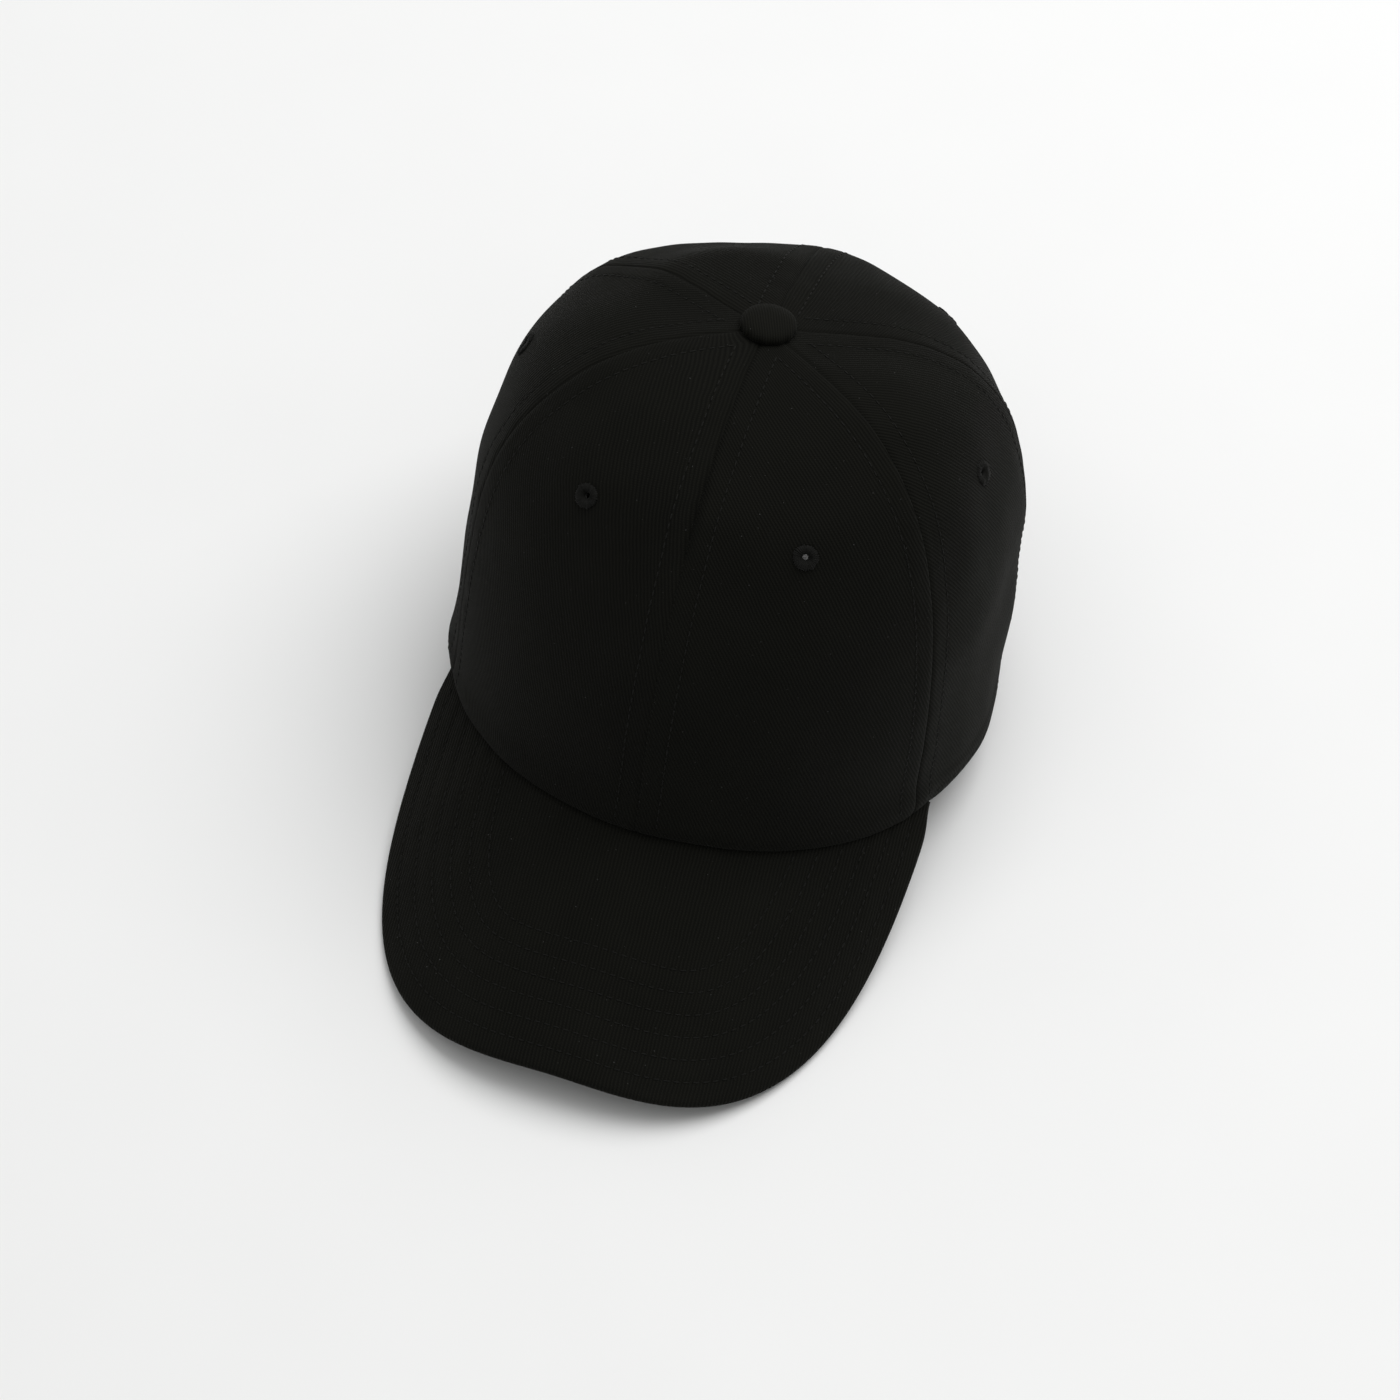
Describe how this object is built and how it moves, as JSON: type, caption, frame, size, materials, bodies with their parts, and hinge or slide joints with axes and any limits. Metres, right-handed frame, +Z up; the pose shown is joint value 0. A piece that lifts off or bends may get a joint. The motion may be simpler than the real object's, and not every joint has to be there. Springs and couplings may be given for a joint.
{
  "type": "baseball cap",
  "caption": "Soft panelled baseball cap with a curved visor, covered top button, eyelets and a strap with a flip buckle at the back opening.",
  "frame": {"origin": "on the floor under the middle of the overall box, the cap resting on its visor's corners and the back hem", "axes": "-Y towards the visor's front edge, +Y towards the back opening, +X the wearer's left when worn facing -Y, +Z up from the floor"},
  "size_m": [0.168, 0.2614, 0.1481],
  "materials": {
    "twill": "matt cotton twill",
    "binding": "matt cotton tape",
    "thread": "soft sheen thread",
    "buckram": "open stiff weave",
    "tape": "matt cotton tape",
    "sweatband": "matt cotton twill",
    "board": "matt",
    "button_metal": "satin",
    "buckle_metal": "brushed"
  },
  "bodies": {
    "crown": {"panel_front_left": "twill", "panel_front_right": "twill", "panel_side_left": "twill", "panel_side_right": "twill", "panel_back_left": "twill", "panel_back_right": "twill", "visor_cover_top": "twill", "visor_cover_under": "twill", "button_cover": "twill", "buckle_tab": "twill", "arch_binding": "binding", "buckram_left": "buckram", "buckram_right": "buckram", "tape_front": "tape", "tape_back": "tape", "tape_side_front_left": "tape", "tape_side_front_right": "tape", "tape_side_back_left": "tape", "tape_side_back_right": "tape", "eyelet_front_left": "thread", "eyelet_front_right": "thread", "eyelet_side_left": "thread", "eyelet_side_right": "thread", "eyelet_back_left": "thread", "eyelet_back_right": "thread", "sweatband": "sweatband", "visor_board": "board", "button_shell": "button_metal", "button_post": "button_metal", "button_washer": "button_metal", "buckle_frame": "buckle_metal", "buckle_pin": "buckle_metal"},
    "strap": {"strap": "twill"},
    "buckle_lever": {"buckle_lever": "buckle_metal"}
  },
  "joints": [
    {"name": "strap_slide", "type": "hinge", "parent": "crown", "child": "strap", "pos_m": [0, 0.04805, 0.02486], "axis": [0, 0.1719, 0.9851], "range_deg": [-7, 7]},
    {"name": "buckle_lever_hinge", "type": "hinge", "parent": "crown", "child": "buckle_lever", "pos_m": [0.03532, 0.1149, 0.0132], "axis": [0, -0.1719, -0.9851], "range_deg": [0, 100]}
  ]
}
